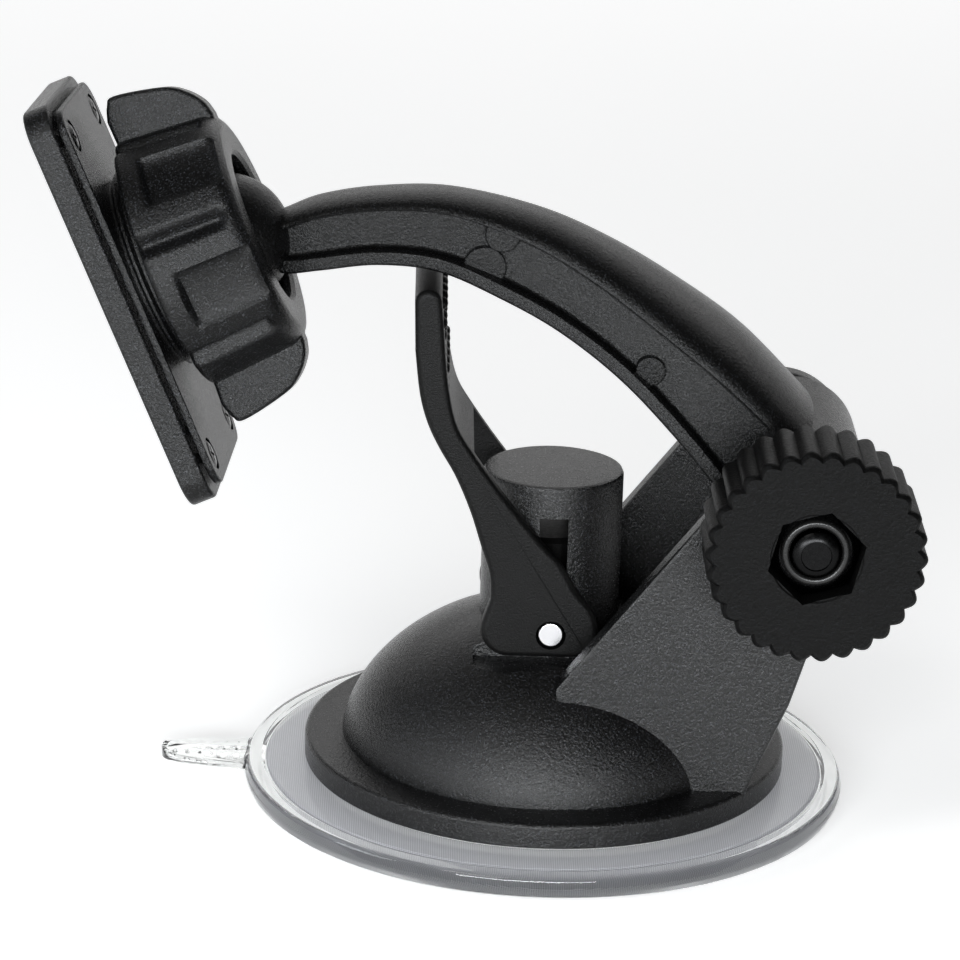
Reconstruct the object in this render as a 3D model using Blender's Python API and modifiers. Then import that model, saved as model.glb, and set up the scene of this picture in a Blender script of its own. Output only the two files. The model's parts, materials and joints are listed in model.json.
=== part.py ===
"""Windscreen suction-cup mount for a dash camera, modelled as separate pieces.

Frame: +Z up, origin at the centre of the cup's flat sealing face. The arm reaches towards -X and
its clamp knob is on the -Y side. Metres throughout.
"""
import bpy
import bmesh
from math import asin, atan2, cos, degrees, pi, radians, sin
from mathutils import Matrix, Vector

# ---- driving dimensions -------------------------------------------------------------------------
GAP = 0.0003                    # air between pieces that touch

CUP_R = 0.039
CUP_CENTRE_Z = 0.0026           # top of the cup under the stem's plate
CUP_TOP_Z = 0.0030              # top of the cup's outer ring
TAB_ANGLE = radians(178.0)      # where the pull tab points
TAB_END_R = 0.0500
TAB_HALF_W = 0.0053             # at the rim
TAB_TIP_R = 0.0031
TAB_THICKNESS = 0.0016
TAB_Z = 0.0017                  # middle of the tab's thickness

FLANGE_R = 0.03115
FLANGE_Z = (0.0033, 0.00655)
DOME_R = 0.02626
DOME_H = 0.0181
DOME_POWER = 0.6                # below 0.5 would be a fuller dome, above it a pointed one
DOME_WALL = 0.0024
POST_R = 0.00895
POST_TOP_Z = 0.0429
POST_WALL = 0.0020
SLOT_W = 0.0036
SLOT_Z = (0.0218, 0.0388)
CEILING_Z = 0.0180              # underside of the housing around the stem
GUIDE_TOP_Z = 0.0210            # top of the narrow bore that guides the stem

EAR_Y = (0.0158, 0.0190)        # inner and outer face of each clevis ear
EAR_R = 0.0093                  # round top of the ear
EAR_TOP = Vector((0.0296, 0.0421))
EAR_FRONT_FOOT = Vector((0.0005, 0.0197))
EAR_REAR_FOOT = Vector((0.0319, 0.0249))
BARREL_R = 0.0088
HEAD_BOSS_R = 0.0069            # round the hexagonal pocket for the bolt head
HEAD_BOSS_Y = 0.0210
HEAD_SEAT_Y = 0.0176
PIVOT = Vector((0.0310, 0.0, 0.0427))
BOLT_R = 0.0029                 # M6 bolt
BOLT_HOLE_R = 0.0033
BOLT_HEAD_H = 0.0040
BOLT_TIP_INSET = 0.0009         # bolt's end behind the knob's face
KNOB_WASHER_R = 0.0088
WASHER_STEP = 0.0008            # washers' rims inside the barrel's
HEX_AF = 0.0100                 # across flats of the M6 bolt head and nut
KNOB_R = 0.0135
KNOB_Y = (-0.0206, -0.0322)
KNOB_FLUTES = 30
FLUTE_DEPTH = 0.0008
POCKET_DEPTH = 0.0068           # of the knob's hexagonal pocket
NUT_HEIGHT = 0.0047
INSERT_R = 0.0042
INSERT_H = 0.0012

PIN = Vector((0.0, 0.0, 0.0240))
PIN_R = 0.0016
PIN_HOLE_R = 0.0019
CAM_FLAT = 0.0031               # from the pin's axis down to the cam's flat
CAM_HEEL = 0.0089               # from the pin's axis to the cam's heel
CAM_NOSE_R = 0.0060
CAM_REST_GAP = 0.0006
LEVER_Y = (0.0093, 0.0112)      # inner and outer face of each fork arm
LEVER_TOP = 0.0449              # handle's top above the pin
LEVER_CROTCH = 0.0236           # top of the fork gap above the pin

STEM_R = 0.0058
STEM_TOP_Z = 0.0350
STEM_PLATE_R = 0.0150
STEM_PLATE_H = 0.0018
SPRING_R = 0.0082
SPRING_WIRE_R = 0.00045
SPRING_TURNS = 3.5

BALL = Vector((-0.0423, 0.0, 0.0716))
BALL_R = 0.0085
BARREL_HALF = 0.0143
HEAD_TILT = radians(24.0)       # head axis below horizontal
HEAD_SPIN = radians(5.0)        # plate turned about the head axis
COLLAR_SPIN = radians(13.0)     # wings turned about the head axis
NUT_U = (-0.0053, 0.0081)       # along the head axis, from the ball's centre
NUT_R = (0.0153, 0.0164)        # rear and front radius
# Side view of a wing: distance from the ball's centre along the head axis, radius.
WING_OUTLINE = [(0.0078, 0.0140), (0.0080, 0.0190), (0.0073, 0.0209), (0.0060, 0.0218), (0.0, 0.0206),
                (-0.0025, 0.0192), (-0.0042, 0.0172), (-0.0048, 0.0153), (-0.0048, 0.0140)]
WING_HALF = 0.0021              # half thickness
COLLAR_GROOVES = 6
GROOVE_SPIN = radians(10.6)     # grooves turned from the wings
COLLAR_MOUTH_R = 0.0096         # the nut's rear opening, round the ball
SEAT_THICKNESS = 0.0012         # of the rubber pad in front of the ball
GROOVE_R = 0.0013
THREAD_R = 0.0128
PLATE_U = (0.0104, 0.0117, 0.0150)
PLATE_SHIFT = -0.0012           # plate's middle below the head axis
PLATE_SIZE = (0.0530, 0.0310)
PLATE_STEP = 0.0013             # border of the plate beyond the socket's base
PLATE_CORNER_R = 0.0040
SCREW_PLACES = [(x + PLATE_SHIFT, y) for x in (-0.0215, 0.0215) for y in (-0.0105, 0.0105)]
SCREW_HEAD_R = 0.0018
SCREW_HEAD_H = 0.0005
SCREW_R = 0.0008


# ---- scene and helpers --------------------------------------------------------------------------
for old in list(bpy.data.objects):
    bpy.data.objects.remove(old, do_unlink=True)

PARTS = bpy.data.collections.new("dash_camera_mount")
CUTTERS = bpy.data.collections.new("cutters")
bpy.context.scene.collection.children.link(PARTS)
bpy.context.scene.collection.children.link(CUTTERS)


def material(name, colour, roughness, metallic=0.0):
    mat = bpy.data.materials.new(name)
    mat.use_nodes = True
    shader = mat.node_tree.nodes["Principled BSDF"]
    shader.inputs["Base Color"].default_value = (*colour, 1.0)
    shader.inputs["Roughness"].default_value = roughness
    shader.inputs["Metallic"].default_value = metallic
    return mat


def place(name, mesh, parent=None, is_cutter=False):
    obj = bpy.data.objects.new(name, mesh)
    (CUTTERS if is_cutter else PARTS).objects.link(obj)
    obj.parent = parent
    if is_cutter:
        obj.hide_render = True
        obj.display_type = 'WIRE'
    return obj


def empty(name, location, rotation=None):
    obj = bpy.data.objects.new(name, None)
    CUTTERS.objects.link(obj)
    obj.location = location
    if rotation is not None:
        obj.rotation_euler = rotation.to_euler()
    return obj


def mesh_from(name, bm):
    bmesh.ops.recalc_face_normals(bm, faces=bm.faces)
    mesh = bpy.data.meshes.new(name)
    bm.to_mesh(mesh)
    bm.free()
    return mesh


def box(name, low, high, **where):
    bm = bmesh.new()
    size = Vector(high) - Vector(low)
    centre = (Vector(high) + Vector(low)) / 2
    bmesh.ops.create_cube(bm, size=1.0, matrix=Matrix.Translation(centre) @ Matrix.Diagonal((*size, 1.0)))
    return place(name, mesh_from(name, bm), **where)


def rod(name, radius, start, end, axis='Z', sides=32, **where):
    """Cylinder or, with few sides, a prism. start and end are distances along the axis."""
    bm = bmesh.new()
    turn = {'Z': Matrix.Identity(4), 'Y': Matrix.Rotation(-pi / 2, 4, 'X'), 'X': Matrix.Rotation(pi / 2, 4, 'Y')}
    middle = Matrix.Translation((0.0, 0.0, (start + end) / 2))
    bmesh.ops.create_cone(bm, cap_ends=True, segments=sides, radius1=radius, radius2=radius,
                          depth=abs(end - start), matrix=turn[axis] @ middle)
    return place(name, mesh_from(name, bm), **where)


def sphere(name, radius, segments=28, rings=16, **where):
    bm = bmesh.new()
    bmesh.ops.create_uvsphere(bm, u_segments=segments, v_segments=rings, radius=radius)
    return place(name, mesh_from(name, bm), **where)


def turned(name, profile, steps=48, closed=False, **where):
    """Profile of (radius, height) points, down the outer side, turned about local Z."""
    count = len(profile)
    edges = [(i, i + 1) for i in range(count - 1)]
    if closed:
        edges.append((count - 1, 0))
    mesh = bpy.data.meshes.new(name)
    mesh.from_pydata([(r, 0.0, z) for r, z in profile], edges, [])
    obj = place(name, mesh, **where)
    screw = obj.modifiers.new("turn", 'SCREW')
    screw.steps = steps
    screw.render_steps = steps
    screw.use_merge_vertices = True
    screw.merge_threshold = 0.00001
    screw.use_smooth_shade = False
    return obj


def slab(name, outline, half, **where):
    """Flat outline of (x, z) points, thickened by half to each side of y = 0."""
    curve = bpy.data.curves.new(name, 'CURVE')
    curve.dimensions = '2D'
    curve.fill_mode = 'BOTH'
    curve.extrude = half
    spline = curve.splines.new('POLY')
    spline.points.add(len(outline) - 1)
    for point, (x, z) in zip(spline.points, outline):
        point.co = (x, z, 0.0, 1.0)
    spline.use_cyclic_u = True
    guide = bpy.data.objects.new(name + "_outline", curve)
    CUTTERS.objects.link(guide)
    guide.rotation_euler = (pi / 2, 0.0, 0.0)
    bpy.context.view_layer.update()
    evaluated = guide.evaluated_get(bpy.context.evaluated_depsgraph_get())
    mesh = bpy.data.meshes.new_from_object(evaluated)
    mesh.transform(guide.matrix_world)
    bpy.data.objects.remove(guide)
    bm = bmesh.new()
    bm.from_mesh(mesh)
    bmesh.ops.remove_doubles(bm, verts=bm.verts, dist=0.000001)
    return place(name, mesh_from(name, bm), **where)


def combine(target, other, operation='DIFFERENCE'):
    modifier = target.modifiers.new(operation.lower(), 'BOOLEAN')
    modifier.operation = operation
    modifier.object = other
    modifier.solver = 'EXACT'


def cut(target, *cutters):
    for cutter in cutters:
        combine(target, cutter, 'DIFFERENCE')


def join(target, *others):
    for other in others:
        combine(target, other, 'UNION')


def finish(obj, mat, smooth=30.0):
    obj.data.materials.append(mat)
    if obj.type == 'MESH' and obj.data.polygons:
        obj.data.shade_smooth()
        obj.data.set_sharp_from_angle(angle=radians(smooth))
    return obj


def arc(centre, radius, start, end, steps):
    """Points of an arc in a plane; angles in degrees."""
    points = []
    for i in range(steps + 1):
        angle = radians(start + (end - start) * i / steps)
        points.append((centre[0] + radius * cos(angle), centre[1] + radius * sin(angle)))
    return points


def tool(function, name, *args, **kwargs):
    return function(name, *args, is_cutter=True, **kwargs)


# ---- suction cup --------------------------------------------------------------------------------
def make_suction_cup():
    rim = 0.0020
    profile = [(0.0, CUP_CENTRE_Z), (0.0290, CUP_CENTRE_Z), (0.0308, CUP_TOP_Z), (0.0360, CUP_TOP_Z),
               (0.0366, CUP_TOP_Z - 0.0003), (CUP_R - 0.0007, CUP_TOP_Z - 0.0005), (CUP_R, rim),
               (CUP_R, 0.0006), (CUP_R - 0.0005, 0.0), (0.0, 0.0)]
    cup = turned("suction_cup", profile, steps=64)
    tip = arc((TAB_END_R - TAB_TIP_R, 0.0), TAB_TIP_R, -80, 80, 8)
    root = CUP_R - 0.0020
    outline = [(root, TAB_HALF_W), (root, -TAB_HALF_W)] + tip
    tab = tool(slab, "pull_tab", outline, TAB_THICKNESS / 2)
    tab.rotation_euler = (-pi / 2, 0.0, TAB_ANGLE)
    tab.location = (0.0, 0.0, TAB_Z)
    join(cup, tab)
    return finish(cup, material("clear_pvc", (0.70, 0.74, 0.72), 0.12))


# ---- base housing -------------------------------------------------------------------------------
def dome_points(radius, height, foot_z, inner_r, steps):
    points = []
    for i in range(steps + 1):
        r = inner_r + (radius - inner_r) * sin(pi / 2 * i / steps)
        points.append((r, foot_z + height * max(0.0, 1 - (r / radius) ** 2) ** DOME_POWER))
    return points


def ear_outline():
    """Side view of a clevis ear, from its rear foot over the pivot boss to the dome."""
    def tangent_angle(point, side):
        reach = point - EAR_TOP
        return atan2(reach.y, reach.x) + side * (pi / 2 - asin(EAR_R / reach.length))

    start = tangent_angle(EAR_REAR_FOOT, 1.0)
    end = tangent_angle(EAR_FRONT_FOOT, -1.0) % (2 * pi)
    top = arc(EAR_TOP, EAR_R, degrees(start), degrees(end), 12)
    return [(0.0015, 0.0080), (0.0050, 0.0050), (0.0236, 0.0038), (0.0250, 0.0058), (0.0258, 0.0084),
            (0.0300, 0.0184), tuple(EAR_REAR_FOOT), *top, tuple(EAR_FRONT_FOOT)]


def make_base_housing():
    foot = FLANGE_Z[1]
    outer = [(0.0, POST_TOP_Z), (POST_R - 0.0009, POST_TOP_Z), (POST_R - 0.0003, POST_TOP_Z - 0.0003),
             (POST_R, POST_TOP_Z - 0.0009)]
    outer += dome_points(DOME_R, DOME_H, foot, POST_R, 8)
    outer += [(FLANGE_R - 0.0005, foot), (FLANGE_R, foot - 0.0005), (FLANGE_R, FLANGE_Z[0]), (0.0, FLANGE_Z[0])]
    housing = turned("base_housing", outer, steps=56)

    outline = ear_outline()
    half = (EAR_Y[1] - EAR_Y[0]) / 2
    for side in (-1, 1):
        ear = tool(slab, "ear_%d" % side, outline, half)
        ear.location.y = side * (EAR_Y[0] + half)
        join(housing, ear)
    brace_outline = [(0.0215, 0.0050), (0.0238, 0.0050), (0.0285, 0.0186), (0.0300, 0.0232), (0.0275, 0.0232),
                     (0.0255, 0.0186)]
    join(housing, tool(slab, "brace", brace_outline, EAR_Y[0] + 0.0008))

    head_boss = tool(rod, "head_boss", HEAD_BOSS_R, EAR_Y[1] - 0.0010, HEAD_BOSS_Y, axis='Y')
    head_boss.location = PIVOT
    join(housing, head_boss)
    pocket = tool(rod, "head_pocket", (HEX_AF / 2 + GAP) / cos(pi / 6), HEAD_SEAT_Y - GAP, HEAD_BOSS_Y + 0.001,
                  axis='Y', sides=6)
    pocket.location = PIVOT
    bolt_hole = tool(rod, "ear_holes", BOLT_HOLE_R, -0.0250, 0.0250, axis='Y')
    bolt_hole.location = PIVOT

    bore_r = POST_R - POST_WALL
    inner_dome = dome_points(DOME_R - DOME_WALL, DOME_H - DOME_WALL, foot - 0.0012, 0.0, 40)
    skirt = [point for point in inner_dome if point[1] < CEILING_Z][::5]
    cavity_profile = [(0.0, POST_TOP_Z - POST_WALL), (bore_r, POST_TOP_Z - POST_WALL), (bore_r, GUIDE_TOP_Z),
                      (STEM_R + 0.0006, GUIDE_TOP_Z), (STEM_R + 0.0006, CEILING_Z), (0.0129, CEILING_Z)]
    cavity_profile += skirt
    cavity_profile += [(FLANGE_R - 0.0018, FLANGE_Z[0] + 0.0018), (FLANGE_R - 0.0018, FLANGE_Z[0] - 0.0010),
                       (0.0, FLANGE_Z[0] - 0.0010)]
    cavity = tool(turned, "cavity", cavity_profile, steps=32)
    cut(housing, cavity, pocket, bolt_hole)

    slot = tool(box, "pin_slot", (-SLOT_W / 2, -0.0200, SLOT_Z[0]), (SLOT_W / 2, 0.0200, SLOT_Z[1]))
    ledge_z = PIN.z - CAM_FLAT - CAM_REST_GAP
    cut(housing, slot)
    for side in (-1, 1):
        low_y, high_y = sorted((side * 0.00915, side * 0.0150))
        cut(housing, tool(box, "ledge_%d" % side, (-0.0110, low_y, ledge_z), (0.0080, high_y, 0.0300)))
    return finish(housing, material("textured_abs", (0.030, 0.029, 0.028), 0.55))


# ---- stem, pin, spring, lever -------------------------------------------------------------------
def make_stem():
    plate_low = CUP_CENTRE_Z + GAP
    plate_high = plate_low + STEM_PLATE_H
    profile = [(0.0, STEM_TOP_Z), (STEM_R - 0.0006, STEM_TOP_Z), (STEM_R, STEM_TOP_Z - 0.0006),
               (STEM_R, plate_high + 0.0015), (STEM_R + 0.0015, plate_high), (STEM_PLATE_R, plate_high),
               (STEM_PLATE_R, plate_low), (0.0, plate_low)]
    stem = turned("suction_stem", profile, steps=32)
    hole = tool(rod, "stem_hole", PIN_HOLE_R, -0.010, 0.010, axis='Y', sides=24)
    hole.location = PIN
    cut(stem, hole)
    return finish(stem, material("stem_nylon", (0.045, 0.045, 0.045), 0.5))


def make_pin():
    pin = rod("lever_pin", PIN_R, -LEVER_Y[1] + 0.0001, LEVER_Y[1] - 0.0001, axis='Y', sides=24)
    pin.location = PIN
    return finish(pin, material("pin_steel", (0.75, 0.75, 0.76), 0.2, 1.0))


def make_spring():
    per_turn = 14
    low_z = CUP_CENTRE_Z + GAP + STEM_PLATE_H + SPRING_WIRE_R + GAP
    high_z = CEILING_Z - SPRING_WIRE_R - GAP
    curve = bpy.data.curves.new("return_spring", 'CURVE')
    curve.dimensions = '3D'
    curve.bevel_depth = SPRING_WIRE_R
    curve.bevel_resolution = 2
    curve.use_fill_caps = True
    spline = curve.splines.new('POLY')
    count = int(SPRING_TURNS * per_turn) + 1
    spline.points.add(count - 1)
    for i, point in enumerate(spline.points):
        angle = 2 * pi * i / per_turn
        z = low_z + (high_z - low_z) * i / (count - 1)
        point.co = (SPRING_R * cos(angle), SPRING_R * sin(angle), z, 1.0)
    spring = bpy.data.objects.new("return_spring", curve)
    PARTS.objects.link(spring)
    return finish(spring, material("spring_steel", (0.55, 0.55, 0.56), 0.3, 1.0))


def lever_outline():
    """Side view about the pin: flat cam face, round nose, leaning fork, upright handle."""
    heel_r = 0.0036
    heel = arc((heel_r - CAM_HEEL, heel_r - CAM_FLAT), heel_r, 270, 165, 8)
    nose_start = asin(-CAM_FLAT / CAM_NOSE_R) * 180 / pi
    nose = arc((0.0, 0.0), CAM_NOSE_R, nose_start, 42, 8)
    front = [(-0.0078, 0.0044), (-0.0080, 0.0078), (-0.0092, 0.0116), (-0.0107, 0.0162), (-0.0127, 0.0208),
             (-0.0147, 0.0242), (-0.0163, 0.0275), (-0.0174, 0.0314), (-0.0181, 0.0370)]
    top_r = 0.0017
    top = arc((-0.0166, LEVER_TOP - top_r), top_r, 180, 0, 8)
    back = [(-0.0146, 0.0400), (-0.0141, 0.0345), (-0.0135, 0.0306), (-0.0126, 0.0273), (-0.0110, 0.0245),
            (-0.0070, 0.0189), (-0.0018, 0.0124), (0.0008, 0.0096), (0.0022, 0.0072), (0.0030, 0.0058)]
    return heel + front + top + back + nose[::-1]


def make_lever():
    lever = slab("lock_lever", lever_outline(), LEVER_Y[1])
    lever.location = PIN
    fork_gap = tool(box, "fork_gap", (-0.0200, -LEVER_Y[0], -0.0060), (0.0120, LEVER_Y[0], LEVER_CROTCH),
                    parent=lever)
    hole = tool(rod, "lever_hole", PIN_HOLE_R, -0.0200, 0.0200, axis='Y', sides=24, parent=lever)
    cut(lever, fork_gap, hole)
    return finish(lever, material("lever_abs", (0.032, 0.031, 0.030), 0.5))


# ---- arm ----------------------------------------------------------------------------------------
# Sections from the ball's neck to the barrel: bottom point, top point, half width, crown height.
ARM_SECTIONS = [
    ((-0.0380, 0.0686), (-0.0380, 0.0747), 0.0032, 0.0015),
    ((-0.0345, 0.0681), (-0.0345, 0.0762), 0.0040, 0.0016),
    ((-0.0300, 0.0692), (-0.0303, 0.0776), 0.0046, 0.0015),
    ((-0.0230, 0.0702), (-0.0232, 0.0788), 0.0050, 0.0015),
    ((-0.0155, 0.0697), (-0.0140, 0.0790), 0.0056, 0.0019),
    ((-0.0077, 0.0668), (-0.0030, 0.0767), 0.0069, 0.0030),
    ((-0.0002, 0.0632), (0.0062, 0.0728), 0.0088, 0.0038),
    ((0.0074, 0.0580), (0.0150, 0.0676), 0.0112, 0.0044),
    ((0.0145, 0.0512), (0.0239, 0.0612), 0.0132, 0.0046),
    ((0.0215, 0.0430), (0.0325, 0.0525), 0.0139, 0.0040),
]
ARM_EDGE = 0.0004
RECESS_DEPTH = 0.0026
RECESS_RIM = 0.0018
CROWN_STEPS = 6


def arm_section(bottom, top, half_w, crown):
    """One closed ring: flat underside, straight flanks and a crowned top."""
    low = Vector((bottom[0], 0.0, bottom[1]))
    rise = Vector((top[0], 0.0, top[1])) - low
    height = rise.length
    up = rise.normalized()
    points = [(-half_w + ARM_EDGE, 0.0), (half_w - ARM_EDGE, 0.0), (half_w, ARM_EDGE)]
    for i in range(CROWN_STEPS + 1):
        angle = pi * i / CROWN_STEPS
        points.append((half_w * cos(angle), height - crown + crown * sin(angle)))
    points.append((-half_w, ARM_EDGE))
    return [low + up * h + Vector((0.0, y, 0.0)) for y, h in points]


def recess_section(bottom, top, half_w, crown, side):
    """Ring of the cutter that hollows one flank between the lower rim and the crown."""
    low = Vector((bottom[0], 0.0, bottom[1]))
    rise = Vector((top[0], 0.0, top[1])) - low
    up = rise.normalized()
    high = rise.length - crown - 0.0003
    inner = side * (half_w - RECESS_DEPTH)
    outer = side * (half_w + 0.0030)
    corners = [(inner, RECESS_RIM), (outer, RECESS_RIM), (outer, high), (inner, high)]
    return [low + up * h + Vector((0.0, y, 0.0)) for y, h in corners]


def loft(name, rings, **where):
    bm = bmesh.new()
    rows = [[bm.verts.new(p) for p in ring] for ring in rings]
    count = len(rows[0])
    for near, far in zip(rows, rows[1:]):
        for i in range(count):
            j = (i + 1) % count
            bm.faces.new((near[i], near[j], far[j], far[i]))
    bm.faces.new(rows[0][::-1])
    bm.faces.new(rows[-1])
    return place(name, mesh_from(name, bm), **where)


def make_arm():
    rings = [arm_section(*section) for section in ARM_SECTIONS]
    arm = loft("swing_arm", rings)
    arm.data.transform(Matrix.Translation(-PIVOT))
    arm.location = PIVOT
    ball = tool(sphere, "ball", BALL_R)
    ball.location = BALL
    barrel = tool(rod, "barrel", BARREL_R, -BARREL_HALF, BARREL_HALF, axis='Y', sides=40)
    barrel.location = PIVOT
    join(arm, ball, barrel)
    for side in (-1, 1):
        rings = [recess_section(*section, side) for section in ARM_SECTIONS[2:9]]
        cut(arm, tool(loft, "recess_%d" % side, rings))
    bore = tool(rod, "barrel_bore", BOLT_HOLE_R, -0.0250, 0.0250, axis='Y')
    bore.location = PIVOT
    cut(arm, bore)
    return finish(arm, material("arm_abs", (0.031, 0.030, 0.029), 0.5))


# ---- clamp: bolt, washers, knob, nut ------------------------------------------------------------
def ring(name, inner_r, outer_r, start, end, steps=24, **where):
    """Flat ring about the Y axis."""
    low, high = sorted((start, end))
    profile = [(outer_r, high), (outer_r, low), (inner_r, low), (inner_r, high)]
    obj = turned(name, profile, steps=steps, closed=True, **where)
    obj.rotation_euler = (-pi / 2, 0.0, 0.0)
    return obj


def make_bolt():
    bolt = rod("pivot_bolt", BOLT_R, KNOB_Y[1] + BOLT_TIP_INSET, HEAD_SEAT_Y + 0.0010, axis='Y', sides=24)
    bolt.location = PIVOT
    head = tool(rod, "bolt_head", HEX_AF / 2 / cos(pi / 6), HEAD_SEAT_Y, HEAD_SEAT_Y + BOLT_HEAD_H, axis='Y',
                sides=6)
    head.location = PIVOT
    join(bolt, head)
    return finish(bolt, material("dark_steel", (0.10, 0.10, 0.11), 0.3, 1.0))


def make_washers():
    steel = material("washer_nylon", (0.06, 0.06, 0.06), 0.45)
    for side, name in ((-1, "near_washer"), (1, "far_washer")):
        washer = ring(name, BOLT_HOLE_R, BARREL_R - WASHER_STEP, side * (BARREL_HALF + GAP), side * (EAR_Y[0] - GAP))
        washer.location = PIVOT
        finish(washer, steel)
    washer = ring("knob_washer", BOLT_HOLE_R, KNOB_WASHER_R, -(EAR_Y[1] + GAP), KNOB_Y[0] + GAP)
    washer.location = PIVOT
    finish(washer, material("thrust_steel", (0.45, 0.45, 0.46), 0.3, 1.0))


def make_knob():
    start, end = KNOB_Y
    outline = []
    for i in range(KNOB_FLUTES * 4):
        angle = 2 * pi * i / (KNOB_FLUTES * 4)
        radius = KNOB_R - FLUTE_DEPTH * (1 - abs(cos(KNOB_FLUTES * angle / 2)))
        outline.append((radius * cos(angle), radius * sin(angle)))
    half = (start - end) / 2
    knob = slab("clamp_knob", outline, half)
    knob.data.transform(Matrix.Translation((0.0, (start + end) / 2, 0.0)))
    knob.location = PIVOT
    pocket_floor = end + POCKET_DEPTH
    pocket = tool(rod, "knob_pocket", (HEX_AF / 2 + GAP) / cos(pi / 6), end - 0.001, pocket_floor, axis='Y',
                  sides=6, parent=knob)
    bore = tool(rod, "knob_bore", BOLT_HOLE_R, end - 0.001, start + 0.001, axis='Y', parent=knob)
    cut(knob, pocket, bore)
    return finish(knob, material("knob_abs", (0.026, 0.025, 0.025), 0.6))


def make_nut():
    floor = KNOB_Y[1] + POCKET_DEPTH - GAP
    face = floor - NUT_HEIGHT
    nut = rod("lock_nut", HEX_AF / 2 / cos(pi / 6), face, floor, axis='Y', sides=6)
    nut.location = PIVOT
    bore = tool(rod, "nut_bore", BOLT_HOLE_R, face - 0.001, floor + 0.001, axis='Y', parent=nut)
    seat = tool(rod, "insert_seat", INSERT_R + GAP, face - 0.001, face + INSERT_H + GAP, axis='Y', parent=nut)
    cut(nut, bore, seat)
    finish(nut, material("nut_steel", (0.12, 0.12, 0.13), 0.28, 1.0))
    insert = ring("nut_insert", BOLT_HOLE_R - 0.0001, INSERT_R, face + 0.0001, face + INSERT_H)
    insert.location = PIVOT
    finish(insert, material("insert_nylon", (0.03, 0.03, 0.035), 0.4))


# ---- ball joint and camera plate ----------------------------------------------------------------
def shell_profile(inner_r, outer_r, start, end, steps):
    """Closed profile of a spherical shell between two angles from +Z, outer side first."""
    outer = [(outer_r * sin(radians(a)), outer_r * cos(radians(a)))
             for a in (start + (end - start) * i / steps for i in range(steps + 1))]
    inner = [(inner_r * sin(radians(a)), inner_r * cos(radians(a)))
             for a in (end + (start - end) * i / steps for i in range(steps + 1))]
    return outer + inner


def make_ball_seat(frame):
    profile = shell_profile(BALL_R + GAP, BALL_R + SEAT_THICKNESS, 12, 50, 4)
    seat = turned("ball_seat_pad", profile, steps=28, closed=True, parent=frame)
    return finish(seat, material("seat_rubber", (0.02, 0.02, 0.02), 0.8))


def make_clamp_ring(frame):
    inner = [((BALL_R + GAP) * sin(radians(a)), (BALL_R + GAP) * cos(radians(a))) for a in (112, 100, 88, 76)]
    top_z = inner[-1][1]
    low_z = inner[0][1]
    profile = [(0.0104, top_z), (0.0104, low_z)] + inner
    clamp = turned("split_clamp_ring", profile, steps=32, closed=True, parent=frame)
    split = tool(box, "ring_split", (0.0050, -0.0006, -0.0080), (0.0150, 0.0006, 0.0080), parent=frame)
    cut(clamp, split)
    return finish(clamp, material("ring_acetal", (0.035, 0.035, 0.036), 0.4))


def rounded_rectangle(length, width, radius):
    points = []
    for cx, cy, start in ((1, 1, 0), (-1, 1, 90), (-1, -1, 180), (1, -1, 270)):
        centre = (cx * (length / 2 - radius), cy * (width / 2 - radius))
        points += arc(centre, radius, start, start + 90, 5)
    return points


def flat_plate(name, size, radius, low, high, **where):
    """Rounded rectangle lying across local Z, between low and high."""
    plate = slab(name, rounded_rectangle(*size, radius), (high - low) / 2, **where)
    middle = Matrix.Translation((PLATE_SHIFT, 0.0, (low + high) / 2))
    plate.data.transform(middle @ Matrix.Rotation(-pi / 2, 4, 'X'))
    return plate


def make_head_socket(frame):
    low, high = PLATE_U[:2]
    length, width = (size - 2 * PLATE_STEP for size in PLATE_SIZE)
    base = flat_plate("head_socket", (length, width), PLATE_CORNER_R - PLATE_STEP / 2, low, high - GAP,
                      parent=frame)
    front_r = BALL_R + SEAT_THICKNESS + GAP
    rear_u = NUT_U[0] + 0.0026
    collar = tool(rod, "threaded_collar", THREAD_R, -0.0034, low + 0.0006, parent=frame, sides=40)
    join(base, collar)
    hollow_profile = [(0.0, front_r)]
    hollow_profile += [(front_r * sin(radians(a)), front_r * cos(radians(a))) for a in (20, 40, 60, 72)]
    hollow_profile += [(0.0107, 0.0029), (0.0107, rear_u - 0.0030), (0.0, rear_u - 0.0030)]
    cut(base, tool(turned, "ball_hollow", hollow_profile, steps=28, parent=frame))
    for index, (x, y) in enumerate(SCREW_PLACES):
        recess = tool(rod, "head_recess_%d" % index, SCREW_HEAD_R + GAP, low - 0.001, low + SCREW_HEAD_H + GAP,
                      sides=12, parent=frame)
        shank = tool(rod, "clear_hole_%d" % index, SCREW_R + GAP, low - 0.001, high + 0.001,
                     sides=12, parent=frame)
        for cutter in (recess, shank):
            cutter.location = (x, y, 0.0)
        cut(base, recess, shank)
    return finish(base, material("socket_abs", (0.034, 0.033, 0.032), 0.5))


def make_camera_plate(frame):
    low, high = PLATE_U[1:]
    plate = flat_plate("camera_plate", PLATE_SIZE, PLATE_CORNER_R, low, high, parent=frame)
    for index, (x, y) in enumerate(SCREW_PLACES):
        hole = tool(rod, "pilot_hole_%d" % index, SCREW_R + GAP, low - 0.001, low + 0.0020, sides=12,
                    parent=frame)
        hole.location = (x, y, 0.0)
        cut(plate, hole)
    return finish(plate, material("plate_abs", (0.034, 0.033, 0.032), 0.5))


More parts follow.
